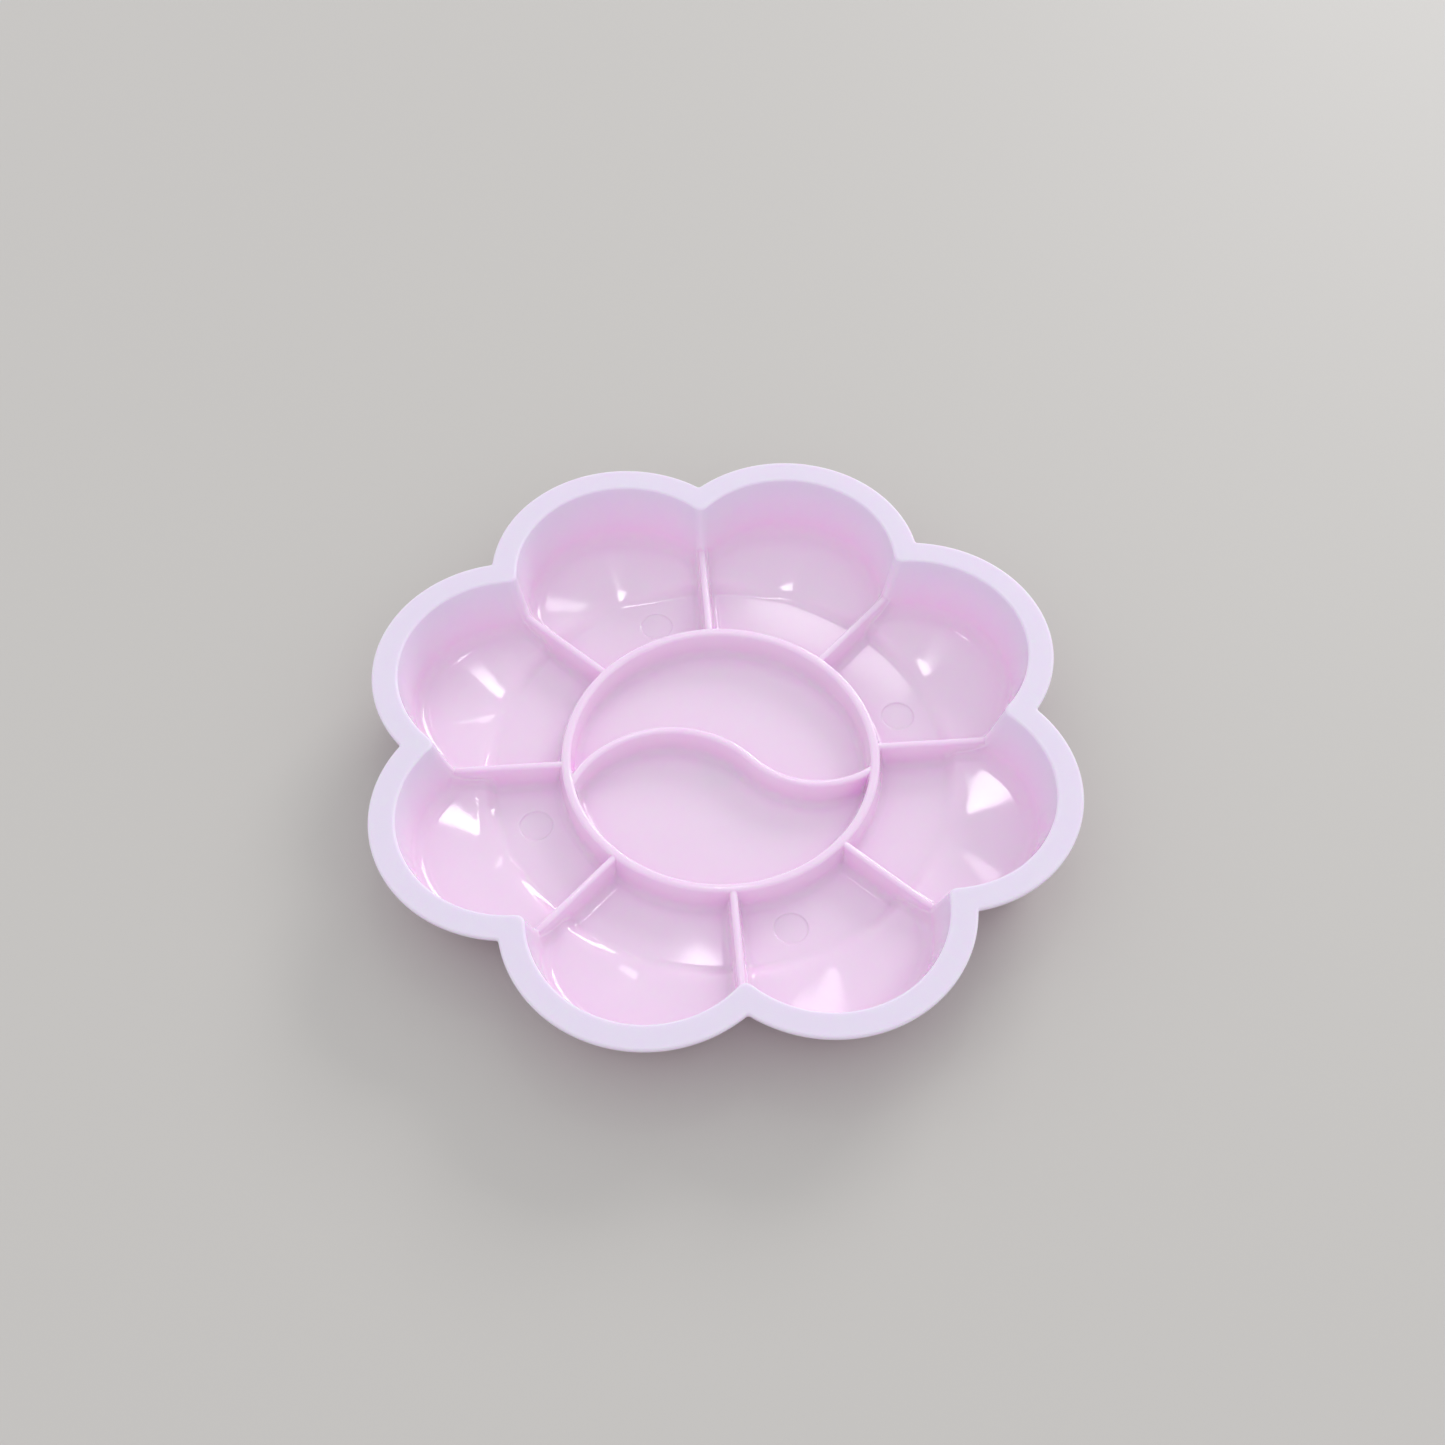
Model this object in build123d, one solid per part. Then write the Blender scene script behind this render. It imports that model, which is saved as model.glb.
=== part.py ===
from build123d import *
import os
from math import cos, radians, sin, sqrt, tan

# Flower-shaped mixing palette, injection moulded in milky plastic.
# Eight petal wells open into a flat floor, eight low ribs keep them apart, and a ring in
# the middle holds two more wells either side of an S-shaped divider.
# Millimetres, +Z up. The origin is on the surface the palette stands on, under its middle.

# The whole moulding
overall_width = 170.0
overall_height = 19.3
wall = 1.4
petal_count = 8

# The rim: a lobed plate, one round lobe to each petal
lobe_radius = 32.4
rim_width = 6.0
rim_thickness = 1.4
rim_edge_radius = 0.5
lip_radius = 0.5

# The petal wells: a shallow cone for a floor, a rounded foot and a drafted wall
wall_draft = 11.5
foot_radius = 4.0
floor_rise = 6.0

# The flat floor, which the petal floors step down to
flat_floor_radius = 53.9
riser_draft = 20.0

# The ring, ribs and divider that stand on the floor
ring_radius = 36.5
ring_height = 6.8
ring_crest_width = 2.0
rib_height = 6.6
rib_crest_width = 1.5
divider_height = 6.5
divider_crest_width = 1.7
upright_draft = 5.0
root_radius = 1.4
crest_radius = 0.5
ridge_radius = 1.0
ridge_inset = 0.3

# The divider is two arcs that meet tangent to each other inside the ring
hump_centre = (-5.2, -21.3)
hump_radius = 25.8
hump_sweep = 125.0
trough_radius = 21.4
trough_sweep = 110.0
arcs_meet_at = 61.2

# Marks that the mould leaves: round ejector pins on the floor, a gate under the middle
pin_mark_count = 4
pin_mark_circle = 46.0
pin_mark_radius = 4.0
pin_mark_depth = 0.12
pin_mark_start = 38.5
gate_recess_radius = 5.0
gate_recess_depth = 0.5
gate_nub_radius = 1.0
gate_nub_height = 0.3

# How close a corner of a section lies to the place it is picked by
near = 0.01

# Worked out from the sizes above
petal_pitch = 360 / petal_count
petal_circle = overall_width / 2 - lobe_radius
mouth_radius = lobe_radius - rim_width
rim_underside = overall_height - rim_thickness
half_spacing = petal_circle * sin(radians(petal_pitch / 2))
standing = (Align.CENTER, Align.CENTER, Align.MIN)

os.makedirs("parts", exist_ok=True)


def upright(section):
    """Stand a section drawn on the ground up along Z."""
    return Rot(90, 0, 0) * section


def well_space(skin):
    """The hollow of one petal about its own axis, or the block that much larger all round."""
    apex = wall - skin / cos(radians(floor_rise))
    mouth = mouth_radius + skin / cos(radians(wall_draft))
    wall_lean = tan(radians(wall_draft))
    floor_lean = tan(radians(floor_rise))
    foot = (mouth - (overall_height - apex) * wall_lean) / (1 + floor_lean * wall_lean)
    foot_height = apex + foot * floor_lean
    above = overall_height + wall
    outline = Polyline(
        (0, apex), (foot, foot_height), (mouth, overall_height),
        (mouth + wall, overall_height), (mouth + wall, above), (0, above), close=True,
    )
    profile = make_face(outline)
    foot_corner = [v for v in profile.vertices() if abs(v.X - foot) < near]
    profile = fillet(foot_corner, foot_radius + skin)
    lip_corner = [v for v in profile.vertices() if abs(v.X - mouth) < near]
    return revolve(upright(fillet(lip_corner, lip_radius)), Axis.Z)


def upright_section(height, crest_width):
    """Section through a ring, rib or divider: drafted sides, rounded crest, flared root."""
    crest_half = crest_width / 2
    root_half = crest_half + height * tan(radians(upright_draft))
    slab_half = root_half + 3 * root_radius
    outline = Polyline(
        (-slab_half, -wall), (-slab_half, 0), (-root_half, 0), (-crest_half, height),
        (crest_half, height), (root_half, 0), (slab_half, 0), (slab_half, -wall), close=True,
    )
    section = make_face(outline)
    roots = [v for v in section.vertices() if abs(v.Y) < near and abs(v.X) < slab_half - near]
    section = fillet(roots, root_radius)
    crests = [v for v in section.vertices() if abs(v.Y - height) < near]
    section = fillet(crests, crest_radius)
    return section & Pos(0, height) * Rectangle(2 * slab_half, 2 * height)


def around_the_palette(solid):
    """One copy of the solid for each petal."""
    return [Rot(0, 0, petal_pitch * index) * solid for index in range(petal_count)]


def ridge_bead():
    """The rounded ridge where the walls of two petals meet, leaning out up to the rim."""
    feet = []
    for height in (wall, overall_height + wall):
        reach = mouth_radius - (overall_height - height) * tan(radians(wall_draft))
        across = sqrt(reach**2 - half_spacing**2)
        feet.append((petal_circle * cos(radians(petal_pitch / 2)) + across, 0, height))
    line = Line(feet[0], feet[1])
    bead = sweep(Plane(origin=line @ 0, z_dir=line % 0) * Circle(ridge_radius), line)
    return Pos(ridge_inset, 0, 0) * bead


def rim_flange(well):
    """The lobed plate around the mouths of the wells."""
    lobe = Cylinder(lobe_radius, rim_thickness, align=standing)
    lobe = fillet(lobe.edges().filter_by(GeomType.CIRCLE), rim_edge_radius)
    lobe = Pos(petal_circle, 0, rim_underside) * lobe
    middle = Pos(0, 0, rim_underside - wall) * Cylinder(petal_circle, 3 * wall, align=standing)
    plate = Part() + around_the_palette(lobe)
    plate = plate - around_the_palette(Pos(petal_circle, 0, 0) * well) - middle
    level = Pos(0, 0, rim_underside) * Cylinder(overall_width, rim_thickness, align=standing)
    nose = Rot(0, 0, petal_pitch / 2) * (ridge_bead() & level)
    return plate + around_the_palette(nose)


def petal_well(well, block):
    """The wall and rising floor of the petal on +X, up to the underside of the rim."""
    reach = overall_width
    half_width = reach * tan(radians(petal_pitch / 2))
    wedge = Polyline((0, 0), (reach, -half_width), (reach, half_width), close=True)
    sector = extrude(make_face(wedge), rim_underside)
    riser = Cylinder(flat_floor_radius + wall, rim_underside, align=standing)
    hollow_top = flat_floor_radius + overall_height * tan(radians(riser_draft))
    hollow = Pos(0, 0, wall) * Cone(flat_floor_radius, hollow_top, overall_height, align=standing)
    flat_floor = Cylinder(flat_floor_radius + wall, wall, align=standing)
    outside = sector & Pos(petal_circle, 0, 0) * block + (sector & riser)
    return outside - Pos(petal_circle, 0, 0) * well - hollow - flat_floor


def centre_floor():
    """The flat disc that the palette stands on, with the marks that the mould leaves."""
    disc = Cylinder(flat_floor_radius + wall, wall, align=standing)
    pin = Cylinder(pin_mark_radius, wall, align=standing)
    for index in range(pin_mark_count):
        turn = pin_mark_start + 360 / pin_mark_count * index
        disc -= Rot(0, 0, turn) * Pos(pin_mark_circle, 0, wall - pin_mark_depth) * pin
    disc -= Cylinder(gate_recess_radius, gate_recess_depth, align=standing)
    nub_bottom = gate_recess_depth - gate_nub_height
    disc += Pos(0, 0, nub_bottom) * Cylinder(gate_nub_radius, wall / 2, align=standing)
    return disc


def centre_ring():
    """The ring around the two middle wells."""
    section = Pos(ring_radius, 0, wall) * upright(upright_section(ring_height, ring_crest_width))
    return revolve(section, Axis.Z)


def divider_arc(centre, radius, start, sweep):
    """One arc of the divider, turned about its own centre."""
    section = upright(upright_section(divider_height, divider_crest_width))
    arc = revolve(Rot(0, 0, start) * Pos(radius, 0, wall) * section, Axis.Z, revolution_arc=sweep)
    return Pos(centre[0], centre[1], 0) * arc


def s_divider(ring):
    """The S-shaped wall that parts the two middle wells."""
    reach = hump_radius + trough_radius
    trough_centre = (
        hump_centre[0] + reach * cos(radians(arcs_meet_at)),
        hump_centre[1] + reach * sin(radians(arcs_meet_at)),
    )
    hump = divider_arc(hump_centre, hump_radius, arcs_meet_at, hump_sweep)
    trough = divider_arc(trough_centre, trough_radius, arcs_meet_at + 180, trough_sweep)
    inside_ring = Cylinder(ring_radius - ring_crest_width / 2, overall_height, align=standing)
    return (hump + trough) & (inside_ring - ring)


def radial_rib(well, ring):
    """The rib between two petals, with the rounded ridge that climbs from it to the rim."""
    section = upright_section(rib_height, rib_crest_width)
    start = Pos(ring_radius, 0, wall) * Rot(0, 0, 90) * upright(section)
    rib = extrude(start, overall_width / 2 - ring_radius, dir=(1, 0, 0))
    hollow_top = flat_floor_radius + rib_height * tan(radians(riser_draft))
    over_flat_floor = Pos(0, 0, wall) * Cone(flat_floor_radius, hollow_top, rib_height, align=standing)
    beside = [
        Rot(0, 0, side * petal_pitch / 2) * Pos(petal_circle, 0, 0) * well for side in (-1, 1)
    ]
    below_rim = Cylinder(overall_width, rim_underside, align=standing)
    room = (over_flat_floor + beside) & below_rim
    return (rib + ridge_bead()) & room - ring


well = well_space(0)
block = well_space(wall)
ring = centre_ring()
petal = petal_well(well, block)
rib = Rot(0, 0, petal_pitch / 2) * radial_rib(well, ring)

nodes = {
    "rim_flange": rim_flange(well),
    "centre_floor": centre_floor(),
    "centre_ring": ring,
    "s_divider": s_divider(ring),
}
for index, copy in enumerate(around_the_palette(petal), start=1):
    nodes[f"petal_well_{index}"] = copy
for index, copy in enumerate(around_the_palette(rib), start=1):
    nodes[f"radial_rib_{index}"] = copy

for name, solid in nodes.items():
    export_step(solid, f"parts/{name}.step")
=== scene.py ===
from math import acos, asin, atan2, cos, hypot, pi, radians, sin, sqrt, tan

import bmesh
import bpy
from mathutils import Matrix, Vector


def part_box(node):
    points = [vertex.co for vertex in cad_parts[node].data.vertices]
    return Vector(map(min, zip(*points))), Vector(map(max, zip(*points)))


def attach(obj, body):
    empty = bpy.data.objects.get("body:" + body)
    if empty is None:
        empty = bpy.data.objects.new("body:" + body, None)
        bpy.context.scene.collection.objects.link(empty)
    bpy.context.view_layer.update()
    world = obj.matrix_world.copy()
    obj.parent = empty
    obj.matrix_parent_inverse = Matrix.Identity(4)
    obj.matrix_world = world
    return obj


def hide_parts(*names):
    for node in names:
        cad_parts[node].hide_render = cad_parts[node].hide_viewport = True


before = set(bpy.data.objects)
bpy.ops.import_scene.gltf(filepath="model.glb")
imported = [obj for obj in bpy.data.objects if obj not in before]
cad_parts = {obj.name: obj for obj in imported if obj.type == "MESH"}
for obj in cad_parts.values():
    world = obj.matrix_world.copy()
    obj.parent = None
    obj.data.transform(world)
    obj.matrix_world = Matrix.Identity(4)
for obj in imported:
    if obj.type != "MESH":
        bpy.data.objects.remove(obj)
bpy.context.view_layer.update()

# Camera: it looks down on the palette from the front and a little to one side, as a
# person standing at the table does, and takes in the whole palette with room around it.
scene = bpy.context.scene
rim_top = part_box("rim_flange")[1]
palette_reach = rim_top.x
palette_height = rim_top.z

# the eye's place is in half widths of the palette, from its middle at the height of the rim
eye = Vector((0.9414, -3.0321, 4.5312)) * palette_reach + Vector((0, 0, palette_height))
gaze = Vector((-0.1701, 0.5498, -0.8178)).normalized()
sideways = Vector((0.9505, 0.3105, 0.0110))

camera_data = bpy.data.cameras.new("camera")
camera_data.lens = 50.6
camera_data.sensor_width = 36
camera_data.clip_start = 0.01
camera = bpy.data.objects.new("camera", camera_data)
scene.collection.objects.link(camera)
level = (sideways - sideways.dot(gaze) * gaze).normalized()
upwards = level.cross(gaze)
turned = Matrix((level, upwards, -gaze)).transposed().to_4x4()
camera.matrix_world = Matrix.Translation(eye) @ turned
scene.camera = camera

# Petals, rim, ribs and the outside of the ring: one shot of milky plastic about 1.4 mm
# thick. Half of one petal is shaped as a net of rows and columns, from the crest of the
# ring out over the rim and back underneath, then mirrored and turned about the middle.
MM = 0.001
PETALS = 8
HALF_PITCH = pi / PETALS
HEIGHT = palette_height
WALL = 1.4 * MM
LOBE_RADIUS = 32.4 * MM
RIM_WIDTH = 6.0 * MM
RIM_EDGE_RADIUS = 0.5 * MM
LIP_RADIUS = 0.6 * MM
WALL_DRAFT = radians(11.5)
FOOT_RADIUS = 4.0 * MM
FLOOR_RISE = radians(6.0)
FLAT_RADIUS = 53.0 * MM
RAMP_WIDTH = 4.0 * MM
RIDGE_BLEND = 2.6 * MM
NOTCH_BLEND = 0.7 * MM
PETAL_CIRCLE = 52.6 * MM
HALF_SPACING = PETAL_CIRCLE * sin(HALF_PITCH)
MOUTH_RADIUS = LOBE_RADIUS - RIM_WIDTH
RING_RADIUS = 36.5 * MM
RING_HEIGHT = 6.8 * MM
RING_CREST = 2.0 * MM
RIB_HEIGHT = 6.6 * MM
RIB_CREST = 1.5 * MM
UPRIGHT_DRAFT = radians(8)
CREST_RADIUS = 0.7 * MM
ROOT_RADIUS = 1.9 * MM
ROOT_TOP = ROOT_RADIUS * (1 - sin(UPRIGHT_DRAFT))
ROOT_FADE = 3.0 * MM

# how the net is laid: flat support beside each curve, rows about the palette's middle until
# ROUND_ROWS past the flat floor, then rows that pass over to the first circle about the
# petal's middle; nearer the palette's middle than STRAIGHT_IN the columns run straight in
SUPPORT = 0.25 * MM
CREST_STEPS = 4
ROOT_STEPS = 6
FOOT_STEPS = 8
LIP_STEPS = 6
EDGE_STEPS = 5
ROUND_ROWS = 2.2 * MM
FIRST_CIRCLE = 21.9 * MM
FIRST_OUTER_CIRCLE = 23.4 * MM
FLOOR_COLUMNS = 18
STRAIGHT_IN = 16.0 * MM
RING_SHARES = [i / 6 for i in range(7)]
FLOOR_SHARES = (0.04, 0.12, 0.25, 0.4, 0.55, 0.68, 0.78, 0.84, 0.88, 0.91, 0.94, 0.97)
SIDE_SHARES = (0.03, 0.5, 0.97)
WALL_SHARES = (0.04, 0.35, 0.65, 0.96)
TOUCHING = 0.002 * MM


def arc(centre, radius, start, end, steps):
    """Points along an arc, both ends included."""
    turns = [start + (end - start) * i / steps for i in range(steps + 1)]
    return [(centre[0] + radius * cos(t), centre[1] + radius * sin(t)) for t in turns]


def run(first, last, shares):
    """Points along a straight line, at these shares of it."""
    length, rise = last[0] - first[0], last[1] - first[1]
    return [(first[0] + length * share, first[1] + rise * share) for share in shares]


def upright(height, crest_width):
    """Half the section of a ring, rib or divider, as (distance from its middle, height)."""
    crest_half = crest_width / 2
    root_half = crest_half + height * tan(UPRIGHT_DRAFT)
    tangent = tan((pi / 2 - UPRIGHT_DRAFT) / 2)
    crest_centre = (crest_half - CREST_RADIUS * tangent, height - CREST_RADIUS)
    root_centre = (root_half + ROOT_RADIUS * tangent, ROOT_RADIUS)
    crest = arc(crest_centre, CREST_RADIUS, pi / 2, UPRIGHT_DRAFT, CREST_STEPS)
    root = arc(root_centre, ROOT_RADIUS, pi + UPRIGHT_DRAFT, 1.5 * pi, ROOT_STEPS)
    side = run(crest[-1], root[0], SIDE_SHARES)
    return [(0, height)] + crest + side + root + [(root[-1][0] + SUPPORT, 0)]


def joined(base, section, index):
    """The height where an upright stands on a base, flared at its root."""
    lift = section[index][1]
    below_crest = WALL + section[0][1] - base
    fade = min(1.0, max(0.0, below_crest / ROOT_FADE))
    return max(base + min(lift, ROOT_TOP) * fade, WALL + lift)


def well_lines(skin):
    """How a petal's floor and wall run: floor at its axis, mouth, foot radius, foot centre."""
    apex = WALL - skin / cos(FLOOR_RISE)
    mouth = MOUTH_RADIUS + skin / cos(WALL_DRAFT)
    radius = FOOT_RADIUS + skin
    lifted = apex + radius / cos(FLOOR_RISE)
    inner = mouth - radius / cos(WALL_DRAFT)
    foot = (inner - (HEIGHT - lifted) * tan(WALL_DRAFT)) / (1 - tan(FLOOR_RISE) * tan(WALL_DRAFT))
    return apex, mouth, radius, (foot, lifted + foot * tan(FLOOR_RISE))


def well_height(distance, skin):
    """Height of a petal's floor or wall at a distance from the petal's own axis."""
    apex, mouth, radius, (foot, foot_height) = well_lines(skin)
    if distance < foot + radius * sin(FLOOR_RISE):
        return apex + distance * tan(FLOOR_RISE)
    if distance < foot + radius * cos(WALL_DRAFT):
        return foot_height - sqrt(radius ** 2 - (distance - foot) ** 2)
    return HEIGHT - (mouth - distance) / tan(WALL_DRAFT)


def ease(distance, from_plane):
    """How far the ridge or notch between two petals is rounded, near the plane between them."""
    blend = NOTCH_BLEND if distance > LOBE_RADIUS - 2 * RIM_EDGE_RADIUS else RIDGE_BLEND
    other = sqrt(distance ** 2 + 4 * HALF_SPACING * from_plane)
    return blend / 4 * max(0.0, 1 - (other - distance) / blend) ** 2


def floor_height(x, y, skin):
    """Height of the floor: flat round the ring, then easing up to the rising petal floors."""
    radius, distance, angle = hypot(x, y), hypot(x - PETAL_CIRCLE, y), atan2(y, x)
    petal = well_height(distance - ease(distance, radius * sin(HALF_PITCH - angle)), skin)
    circle = FIRST_OUTER_CIRCLE if skin else FIRST_CIRCLE
    wall_starts = PETAL_CIRCLE * cos(angle) + sqrt(circle ** 2 - (PETAL_CIRCLE * sin(angle)) ** 2)
    start = FLAT_RADIUS + skin
    share = min(1.0, max(0.0, (radius - start) / min(RAMP_WIDTH, wall_starts - start)))
    share = share * share * (3 - 2 * share)
    return WALL - skin + share * (petal - WALL + skin)


rib_section = upright(RIB_HEIGHT, RIB_CREST)
ring_section = upright(RING_HEIGHT, RING_CREST)
rib_columns = len(rib_section)
columns = rib_columns + FLOOR_COLUMNS


def across_petal(column, edge_angle):
    """A column's angle, from the rib's own columns at its foot to the middle of the petal."""
    return edge_angle * (columns - 1 - column) / FLOOR_COLUMNS


def on_ring(radius, column):
    """A column's place on a circle about the middle of the palette."""
    offset = rib_section[min(column, rib_columns - 1)][0]
    angle = HALF_PITCH - asin(offset / max(radius, STRAIGHT_IN))
    if column >= rib_columns:
        angle = across_petal(column, angle)
    return radius * cos(angle), radius * sin(angle)


def on_petal(distance, column):
    """A column's place on a circle about the middle of the petal on +X."""
    offset = rib_section[min(column, rib_columns - 1)][0]
    reach = distance + ease(distance, offset)
    angle = HALF_PITCH + pi / 2 - acos((HALF_SPACING - offset) / reach)
    if column >= rib_columns:
        angle = across_petal(column, angle)
        reach = distance
    return PETAL_CIRCLE + reach * cos(angle), reach * sin(angle)


def rib_or(height, column):
    """The rib's height where it stands above this height."""
    return joined(height, rib_section, column) if column < rib_columns else height


def ring_row(radius, height, ribbed):
    """A row of the net on a circle about the middle of the palette."""
    places = [on_ring(radius, c) for c in range(columns)]
    return [(x, y, rib_or(height, c) if ribbed else height) for c, (x, y) in enumerate(places)]


def petal_row(distance, height, ribbed):
    """A row of the net on a circle about the middle of the petal."""
    places = [on_petal(distance, c) for c in range(columns)]
    return [(x, y, rib_or(height, c) if ribbed else height) for c, (x, y) in enumerate(places)]


def floor_row(share, ring_radius, circle, skin):
    """A row of the petal floor, part of the way from a ring row to a circle round the petal."""
    row = []
    for column in range(columns):
        (x0, y0), (x1, y1) = on_ring(ring_radius, column), on_petal(circle, column)
        x, y = x0 + (x1 - x0) * share, y0 + (y1 - y0) * share
        height = floor_height(x, y, skin)
        row.append((x, y, height if skin else rib_or(height, column)))
    return row


net = []
for offset, height in ring_section:
    net.append(ring_row(RING_RADIUS + offset, WALL + height, True))
net.append(ring_row(FLAT_RADIUS - SUPPORT, WALL, True))
for share in RING_SHARES:
    net.append(floor_row(0, FLAT_RADIUS + ROUND_ROWS * share, FIRST_CIRCLE, 0))
for share in FLOOR_SHARES:
    net.append(floor_row(share, FLAT_RADIUS + ROUND_ROWS, FIRST_CIRCLE, 0))

# the wall of the well, its lip, the rim and the outside of the wall, all about one axis
apex, mouth, radius, foot = well_lines(0)
foot_start = -acos((FIRST_CIRCLE - foot[0]) / radius)
profile = arc(foot, radius, foot_start, -WALL_DRAFT, FOOT_STEPS)
lip_centre = (mouth + LIP_RADIUS * tan((pi / 2 - WALL_DRAFT) / 2), HEIGHT - LIP_RADIUS)
lip = arc(lip_centre, LIP_RADIUS, pi - WALL_DRAFT, pi / 2, LIP_STEPS)
edge = LOBE_RADIUS - RIM_EDGE_RADIUS
under_rim = HEIGHT - WALL
profile += run(profile[-1], lip[0], WALL_SHARES) + lip
profile += [(lip[-1][0] + SUPPORT, HEIGHT), (edge - SUPPORT, HEIGHT)]
profile += arc((edge, HEIGHT - RIM_EDGE_RADIUS), RIM_EDGE_RADIUS, pi / 2, 0, EDGE_STEPS)
profile += arc((edge, under_rim + RIM_EDGE_RADIUS), RIM_EDGE_RADIUS, 0, -pi / 2, EDGE_STEPS)
apex, mouth, radius, foot = well_lines(WALL)
corner = mouth - WALL * tan(WALL_DRAFT)
tuck_centre = (corner + LIP_RADIUS * tan(pi / 4 + WALL_DRAFT / 2), under_rim - LIP_RADIUS)
tucked = arc(tuck_centre, LIP_RADIUS, pi / 2, pi - WALL_DRAFT, EDGE_STEPS)
foot_end = -acos((FIRST_OUTER_CIRCLE - foot[0]) / radius)
outer_foot = arc(foot, radius, -WALL_DRAFT, foot_end, FOOT_STEPS)
profile += [(edge - SUPPORT, under_rim), (tucked[0][0] + SUPPORT, under_rim)] + tucked
profile += run(tucked[-1], outer_foot[0], WALL_SHARES) + outer_foot
lip_row = profile.index(lip[0])
for index, (distance, height) in enumerate(profile):
    net.append(petal_row(distance, height, index < lip_row))

outer_flat = FLAT_RADIUS + WALL
for share in reversed(FLOOR_SHARES):
    net.append(floor_row(share, outer_flat + ROUND_ROWS, FIRST_OUTER_CIRCLE, WALL))
for share in reversed(RING_SHARES):
    net.append(floor_row(0, outer_flat + ROUND_ROWS * share, FIRST_OUTER_CIRCLE, WALL))

# the flat foot, then the recess of the gate and the nub that is left in the middle of it
GATE_RADIUS = 5.0 * MM
GATE_DEPTH = 0.5 * MM
NUB_RADIUS = 1.0 * MM
NUB_BOTTOM = 0.2 * MM
flat_foot = [(outer_flat - SUPPORT, 0), (4 * GATE_RADIUS, 0), (GATE_RADIUS + 0.4 * MM, 0)]
recess = [(GATE_RADIUS + 0.1 * MM, 0.03 * MM), (GATE_RADIUS, 0.12 * MM)]
recess += [(GATE_RADIUS - 0.1 * MM, GATE_DEPTH - 0.1 * MM), (GATE_RADIUS - 0.3 * MM, GATE_DEPTH)]
nub = [(NUB_RADIUS + 0.4 * MM, GATE_DEPTH), (NUB_RADIUS + 0.1 * MM, GATE_DEPTH - 0.04 * MM)]
nub += [(NUB_RADIUS, GATE_DEPTH - 0.14 * MM), (NUB_RADIUS - 0.05 * MM, NUB_BOTTOM + 0.04 * MM)]
nub += [(NUB_RADIUS - 0.2 * MM, NUB_BOTTOM), (0, NUB_BOTTOM)]
for radius, height in flat_foot + recess + nub:
    net.append(ring_row(radius, height, False))


def laid_net(mesh, net):
    """A grid of faces over a net of rows of places."""
    last_row, last_column = len(net) - 1, len(net[0]) - 1
    grid = bmesh.ops.create_grid(mesh, x_segments=last_row, y_segments=last_column, size=1)["verts"]
    for vert in grid:
        row = round((vert.co.x + 1) / 2 * last_row)
        column = round((vert.co.y + 1) / 2 * last_column)
        vert.co = net[row][column]


palette = bmesh.new()
laid_net(palette, net)
half = palette.verts[:] + palette.edges[:] + palette.faces[:]
copied = bmesh.ops.duplicate(palette, geom=half)["geom"]
other_half = [item for item in copied if isinstance(item, bmesh.types.BMVert)]
bmesh.ops.scale(palette, vec=(1, -1, 1), verts=other_half)
other_faces = [item for item in copied if isinstance(item, bmesh.types.BMFace)]
bmesh.ops.reverse_faces(palette, faces=other_faces)
bmesh.ops.spin(
    palette, geom=palette.verts[:] + palette.edges[:] + palette.faces[:], cent=(0, 0, 0),
    axis=(0, 0, 1), angle=2 * pi * (PETALS - 1) / PETALS, steps=PETALS - 1, use_duplicate=True,
)
bmesh.ops.remove_doubles(palette, verts=palette.verts[:], dist=TOUCHING)

# Ring and divider: the inside of the ring and the S-shaped wall across it are part of the
# same shot. The divider's line is two arcs tangent to each other. Its net keeps the same
# columns beside that line all along it, so that its sides run cleanly into the ring.
HUMP_CENTRE = Vector((-5.2, -21.3)) * MM
HUMP_RADIUS = 25.8 * MM
TROUGH_RADIUS = 21.4 * MM
ARCS_MEET_AT = radians(61.2)
meeting = Vector((cos(ARCS_MEET_AT), sin(ARCS_MEET_AT)))
TROUGH_CENTRE = HUMP_CENTRE + (HUMP_RADIUS + TROUGH_RADIUS) * meeting
DIVIDER_HEIGHT = 6.5 * MM
DIVIDER_CREST = 1.7 * MM
WELL_COLUMNS = 56
HUMP_STEPS = 44
TROUGH_STEPS = 36
divider_section = upright(DIVIDER_HEIGHT, DIVIDER_CREST)
half_offsets = list(range(len(divider_section)))
across_divider = [(-1, i) for i in reversed(half_offsets)] + [(1, i) for i in half_offsets[1:]]


def crossing(radius, centre, reach):
    """The angle about the palette's middle where a circle first crosses one about a centre."""
    away = centre.length
    spread = acos((radius ** 2 + away ** 2 - reach ** 2) / (2 * radius * away))
    return atan2(centre.y, centre.x) - spread


def reaches(side, index):
    """How far a line beside the divider runs from the hump's and from the trough's centre."""
    offset = side * divider_section[index][0]
    return HUMP_RADIUS + offset, TROUGH_RADIUS - offset


def inner_ring_row(radius, base):
    """A row round the inside of the ring, with the two ends of the divider."""
    row = []
    lines = [reaches(*line) for line in across_divider]
    trough = [crossing(radius, TROUGH_CENTRE, trough_reach) for hump_reach, trough_reach in lines]
    hump = [crossing(radius, HUMP_CENTRE, hump_reach) for hump_reach, trough_reach in reversed(lines)]
    hump = [angle % (2 * pi) for angle in hump]
    heights = [joined(base, divider_section, index) for side, index in across_divider]
    for start, end, turn in ((trough, hump, 0), (hump, trough, 2 * pi)):
        row += list(zip(start, heights))
        sweep = end[0] + turn - start[-1]
        for step in range(1, WELL_COLUMNS):
            row.append((start[-1] + sweep * step / WELL_COLUMNS, base))
    row.append((trough[0], heights[0]))
    return [(radius * cos(angle), radius * sin(angle), height) for angle, height in row]


inner_ring = [inner_ring_row(RING_RADIUS - ring_section[1][0] + SUPPORT, WALL + ring_section[0][1])]
for offset, height in ring_section[1:]:
    inner_ring.append(inner_ring_row(RING_RADIUS - offset, WALL + height))
inner_radius = RING_RADIUS - ring_section[-1][0]


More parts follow.
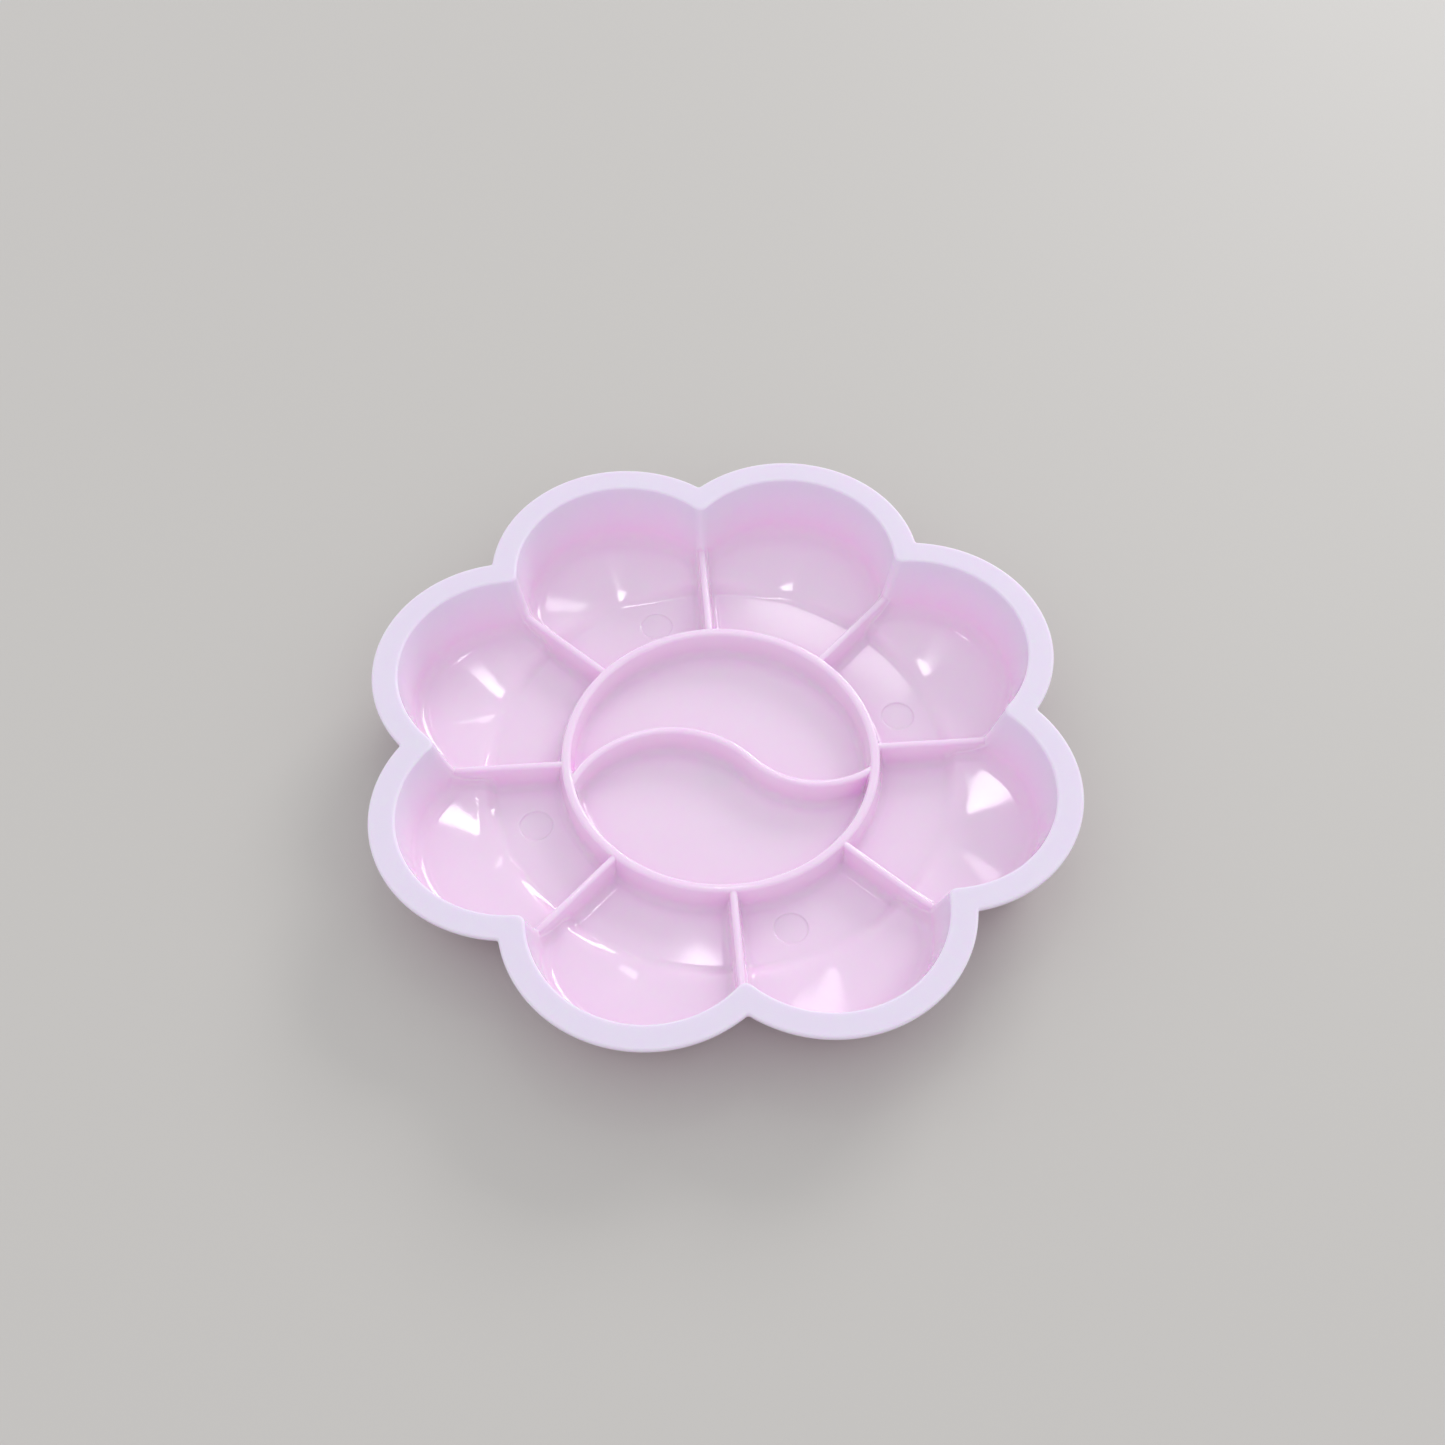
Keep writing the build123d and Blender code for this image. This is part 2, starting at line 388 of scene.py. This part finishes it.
def seen_from(centre, reach):
    """The angle about a centre at which its circle meets the inside of the ring."""
    meets = crossing(inner_radius, centre, reach)
    way = Vector((cos(meets), sin(meets))) * inner_radius - centre
    return atan2(way.y, way.x) % (2 * pi)


divider = []
for step in range(HUMP_STEPS + TROUGH_STEPS + 1):
    row = []
    for side, index in across_divider:
        hump_reach, trough_reach = reaches(side, index)
        if step <= HUMP_STEPS:
            first = seen_from(HUMP_CENTRE, hump_reach)
            angle = first + (ARCS_MEET_AT - first) * step / HUMP_STEPS
            place = HUMP_CENTRE + hump_reach * Vector((cos(angle), sin(angle)))
        else:
            first = ARCS_MEET_AT + pi
            last = seen_from(TROUGH_CENTRE, trough_reach)
            angle = first + (last - first) * (step - HUMP_STEPS) / TROUGH_STEPS
            place = TROUGH_CENTRE + trough_reach * Vector((cos(angle), sin(angle)))
        row.append((place.x, place.y, WALL + divider_section[index][1]))
    divider.append(row)

laid_net(palette, inner_ring)
laid_net(palette, divider)
bmesh.ops.remove_doubles(palette, verts=palette.verts[:], dist=TOUCHING)

crest = WALL + ring_section[0][1]
on_crest = [e for e in palette.edges if e.is_boundary and e.verts[0].co.z > crest - SUPPORT]
bmesh.ops.triangle_fill(palette, use_beauty=True, edges=on_crest, normal=(0, 0, 1))

# Floor of the wells: flat and glossy, with the round marks of four ejector pins between
# the ring and the petals, each a disc pressed a little way into the floor.
PIN_CIRCLE = 46.0 * MM
PIN_RADIUS = 4.0 * MM
PIN_DEPTH = 0.2 * MM
PIN_STEP = 0.1 * MM
PIN_START = radians(38.5)
PIN_COUNT = 4
PIN_SIDES = 48
RIB_REACH = rib_section[-1][0]
BAND_INSIDE = RING_RADIUS + ring_section[-1][0]
BAND_OUTSIDE = FLAT_RADIUS - SUPPORT


def on_flat_band(face, turned_back):
    """Whether a face is on the flat floor between the ring, two ribs and the petal on +X."""
    place = turned_back @ face.calc_center_median()
    radius = hypot(place.x, place.y)
    if abs(place.z - WALL) > TOUCHING or not BAND_INSIDE < radius < BAND_OUTSIDE:
        return False
    return abs(atan2(place.y, place.x)) < HALF_PITCH - asin(RIB_REACH / radius)


for index in range(PIN_COUNT):
    turn = PIN_START + 2 * pi / PIN_COUNT * index
    middle = Vector((PIN_CIRCLE * cos(turn), PIN_CIRCLE * sin(turn), WALL))
    petal_turn = round(turn / (2 * HALF_PITCH)) * 2 * HALF_PITCH
    turned_back = Matrix.Rotation(-petal_turn, 3, "Z")
    band = [face for face in palette.faces if on_flat_band(face, turned_back)]
    rim_edges = [e for f in band for e in f.edges if sum(g in band for g in e.link_faces) == 1]
    bmesh.ops.delete(palette, geom=band, context="FACES")
    circle = bmesh.ops.create_circle(
        palette, segments=PIN_SIDES, radius=PIN_RADIUS + SUPPORT, matrix=Matrix.Translation(middle),
    )
    circle_edges = list({e for v in circle["verts"] for e in v.link_edges})
    bmesh.ops.triangle_fill(palette, use_beauty=True, edges=rim_edges + circle_edges, normal=(0, 0, 1))

floors = bmesh.ops.holes_fill(palette, edges=[e for e in palette.edges if e.is_boundary])["faces"]
bmesh.ops.recalc_face_normals(palette, faces=palette.faces[:])
for face in floors:
    if face.calc_area() < pi * (PIN_RADIUS + 2 * SUPPORT) ** 2:
        bmesh.ops.inset_region(palette, faces=[face], thickness=SUPPORT, use_even_offset=True)
        bmesh.ops.inset_region(palette, faces=[face], thickness=PIN_STEP, depth=-PIN_DEPTH)
    bmesh.ops.inset_region(palette, faces=[face], thickness=SUPPORT, use_even_offset=True)

# Plastic: a milky, slightly pink polystyrene that light sinks into. The wells came off a
# polished mould and are glossy; the rim's top was left satin, with a fine grain.
CLOUD_TINTS = ((0.90, 0.695, 0.865, 1), (0.92, 0.725, 0.88, 1))
# painted sheen: a paler, bluer colour for the rim top, standing in for its satin sheen and the light
# through the thin flange
RIM_SHEEN_TINT = (0.80, 0.735, 0.85, 1)
# painted shade: a deeper pink for corners and roots, standing in for light bounced between the walls
CORNER_SHADE_TINT = (1.0, 0.64, 0.92, 1)
LIGHT_DEPTH = 1.4 * MM
SHEEN_PALER_FROM = 4.0 * MM
CORNER_SHADE_REACH = 6.0 * MM
SATIN_FROM = HEIGHT - 0.7 * MM
SATIN_TO = HEIGHT - 0.1 * MM
WELL_ROUGHNESS = (0.03, 0.09)
RIM_ROUGHNESS = 0.42
CLOUD_SCALE = 55.0
SMUDGE_SCALE = 130.0
GRAIN_SCALE = 2600.0
GRAIN_DEPTH = 0.05 * MM


def plastic(name):
    """The milky plastic: paler towards the rim as painted sheen, deeper pink in the corners as painted
    shade, scuffed and grained.
    """
    material = bpy.data.materials.new(name)
    material.use_nodes = True
    nodes, links = material.node_tree.nodes, material.node_tree.links
    shader = nodes["Principled BSDF"]
    shader.inputs["Subsurface Weight"].default_value = 1.0
    shader.inputs["Subsurface Radius"].default_value = (1.0, 0.62, 0.92)
    shader.inputs["Subsurface Scale"].default_value = LIGHT_DEPTH
    shader.inputs["IOR"].default_value = 1.5
    place = nodes.new("ShaderNodeTexCoord").outputs["Object"]

    def node(kind, inputs=(), **settings):
        new = nodes.new(kind)
        for key, value in settings.items():
            setattr(new, key, value)
        for key, value in inputs:
            if isinstance(value, bpy.types.NodeSocket):
                links.new(value, new.inputs[key])
            else:
                new.inputs[key].default_value = value
        return new

    height = node("ShaderNodeSeparateXYZ", [("Vector", place)]).outputs["Z"]
    on_rim = node("ShaderNodeMapRange", [
        ("Value", height), ("From Min", SATIN_FROM), ("From Max", SATIN_TO),
    ]).outputs["Result"]
    cloud = node("ShaderNodeTexNoise", [("Vector", place), ("Scale", CLOUD_SCALE), ("Detail", 3.0)])
    tone = node("ShaderNodeMix", [
        ("Factor", cloud.outputs["Fac"]), ("A", CLOUD_TINTS[0]), ("B", CLOUD_TINTS[1]),
    ], data_type="RGBA").outputs[2]
    # painted sheen: from 4 mm up to the rim the colour blends towards the paler rim tint
    sheen_paler = node("ShaderNodeMapRange", [
        ("Value", height), ("From Min", SHEEN_PALER_FROM), ("From Max", HEIGHT),
    ]).outputs["Result"]
    tone = node("ShaderNodeMix", [
        ("Factor", sheen_paler), ("A", tone), ("B", RIM_SHEEN_TINT),
    ], data_type="RGBA").outputs[2]
    # painted shade: ambient occlusion blends the deeper pink tint into corners and roots, where shade
    # falls
    corner = node("ShaderNodeAmbientOcclusion", [("Distance", CORNER_SHADE_REACH)], samples=6)
    tone = node("ShaderNodeMix", [
        ("Factor", corner.outputs["AO"]), ("A", CORNER_SHADE_TINT), ("B", tone),
    ], data_type="RGBA").outputs[2]
    links.new(tone, shader.inputs["Base Color"])
    smudge = node("ShaderNodeTexNoise", [("Vector", place), ("Scale", SMUDGE_SCALE), ("Detail", 6.0)])
    gloss = node("ShaderNodeMapRange", [
        ("Value", smudge.outputs["Fac"]), ("To Min", WELL_ROUGHNESS[0]), ("To Max", WELL_ROUGHNESS[1]),
    ]).outputs["Result"]
    rough = node("ShaderNodeMix", [("Factor", on_rim), ("A", gloss), ("B", RIM_ROUGHNESS)]).outputs[0]
    links.new(rough, shader.inputs["Roughness"])
    grain = node("ShaderNodeTexNoise", [("Vector", place), ("Scale", GRAIN_SCALE), ("Detail", 2.0)])
    grain_depth = node("ShaderNodeMath", [(0, grain.outputs["Fac"]), (1, on_rim)], operation="MULTIPLY")
    bump = node("ShaderNodeBump", [
        ("Height", grain_depth.outputs[0]), ("Strength", 0.3), ("Distance", GRAIN_DEPTH),
    ])
    links.new(bump.outputs["Normal"], shader.inputs["Normal"])
    return material


for face in palette.faces:
    face.smooth = True
moulding_mesh = bpy.data.meshes.new("palette_moulding")
palette.to_mesh(moulding_mesh)
palette.free()
moulding = bpy.data.objects.new("palette_moulding", moulding_mesh)
scene.collection.objects.link(moulding)
moulding_mesh.materials.append(plastic("milky_plastic"))
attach(moulding, "root")
pieces = ["rim_flange", "centre_floor", "centre_ring", "s_divider"]
pieces += [f"petal_well_{number}" for number in range(1, PETALS + 1)]
pieces += [f"radial_rib_{number}" for number in range(1, PETALS + 1)]
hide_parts(*pieces)

# Table and light: a plain pale table top, an even soft light all round, two small lamps on
# the ceiling behind the palette and a large soft window, low down behind it.
TABLE_GAP = 0.1 * MM
TABLE_REACH = 12
table_mesh = bpy.data.meshes.new("table")
table = bmesh.new()
bmesh.ops.create_grid(table, x_segments=1, y_segments=1, size=TABLE_REACH)
bmesh.ops.translate(table, vec=(0, 0, -TABLE_GAP), verts=table.verts[:])
table.to_mesh(table_mesh)
table.free()
table_top = bpy.data.objects.new("table", table_mesh)
scene.collection.objects.link(table_top)
table_paint = bpy.data.materials.new("pale_table")
table_paint.use_nodes = True
table_shader = table_paint.node_tree.nodes["Principled BSDF"]
table_shader.inputs["Base Color"].default_value = (0.575, 0.55, 0.52, 1)
table_shader.inputs["Roughness"].default_value = 0.55
table_mesh.materials.append(table_paint)

scene.view_settings.view_transform = "Standard"
world = bpy.data.worlds.new("even_light")
world.use_nodes = True
world.node_tree.nodes["Background"].inputs["Color"].default_value = (0.95, 0.97, 1.0, 1)
world.node_tree.nodes["Background"].inputs["Strength"].default_value = 0.86
scene.world = world

# each lamp: its place on the ceiling in ceiling heights, then its width, depth and brightness
CEILING = 3.0
PANEL_TURN = radians(-17)
PANELS = ((-0.155, 0.78, 0.40, 0.16, 4.2), (-0.135, 0.468, 0.28, 0.16, 11.0))
for index, (x, y, width, depth, brightness) in enumerate(PANELS):
    panel_data = bpy.data.lights.new(f"panel_{index}", "AREA")
    panel_data.shape = "RECTANGLE"
    panel_data.size = width
    panel_data.size_y = depth
    panel_data.energy = brightness * pi * width * depth
    panel = bpy.data.objects.new(f"panel_{index}", panel_data)
    panel.location = (x * CEILING, y * CEILING, CEILING)
    panel.rotation_euler = (0, 0, PANEL_TURN)
    scene.collection.objects.link(panel)

WINDOW_WIDTH = 1.4
WINDOW_HEIGHT = 0.9
WINDOW_BRIGHTNESS = 7.5
window_data = bpy.data.lights.new("window", "AREA")
window_data.shape = "RECTANGLE"
window_data.size = WINDOW_WIDTH
window_data.size_y = WINDOW_HEIGHT
window_data.energy = WINDOW_BRIGHTNESS * pi * WINDOW_WIDTH * WINDOW_HEIGHT
window = bpy.data.objects.new("window", window_data)
window.location = (0.5, 2.7, 1.3)
window.rotation_euler = (-window.location).to_track_quat("-Z", "Y").to_euler()
scene.collection.objects.link(window)
